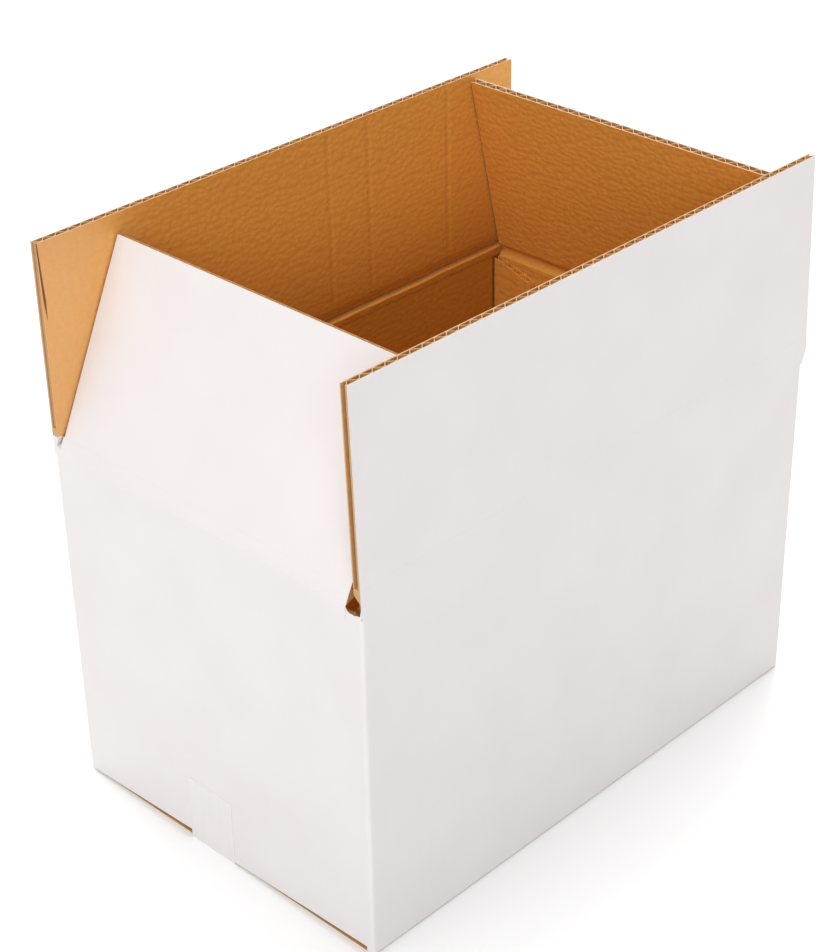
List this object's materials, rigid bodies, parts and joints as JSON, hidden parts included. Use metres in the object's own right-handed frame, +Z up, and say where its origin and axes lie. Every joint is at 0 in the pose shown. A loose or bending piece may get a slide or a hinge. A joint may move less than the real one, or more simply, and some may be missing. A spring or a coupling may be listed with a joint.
{
  "type": "corrugated box",
  "caption": "Rectangular corrugated board box, white outside and brown inside, with an open top whose flaps hinge on scored folds, a glued corner joint and a taped base.",
  "frame": {"origin": "centre of the base, on the underside of the box", "axes": "+Z up, +X along the long walls towards the end wall with the glued joint, +Y along the end walls away from the viewer"},
  "size_m": [0.3853, 0.25, 0.3595],
  "materials": {
    "board": "matte white liner outside, brown kraft liner inside",
    "tape": "thin semi-gloss film"
  },
  "bodies": {
    "carton": {"carton_body": "board", "base_tape": "tape"},
    "near_long": {"near_long_flap": "board"},
    "far_long": {"far_long_flap": "board"},
    "near_end": {"near_end_flap": "board"},
    "far_end": {"far_end_flap": "board"}
  },
  "joints": [
    {"name": "near_long_fold", "type": "hinge", "parent": "carton", "child": "near_long", "pos_m": [0, -0.125, 0.235], "axis": [1, 0, 0], "range_deg": [-0.8, 177]},
    {"name": "far_long_fold", "type": "hinge", "parent": "carton", "child": "far_long", "pos_m": [0, 0.125, 0.235], "axis": [-1, 0, 0], "range_deg": [-0.3, 175]},
    {"name": "near_end_fold", "type": "hinge", "parent": "carton", "child": "near_end", "pos_m": [-0.189, 0, 0.23], "axis": [0, -1, 0], "range_deg": [-65, 200]},
    {"name": "far_end_fold", "type": "hinge", "parent": "carton", "child": "far_end", "pos_m": [0.189, 0, 0.23], "axis": [0, 1, 0], "range_deg": [-77.5, 187.5]}
  ]
}
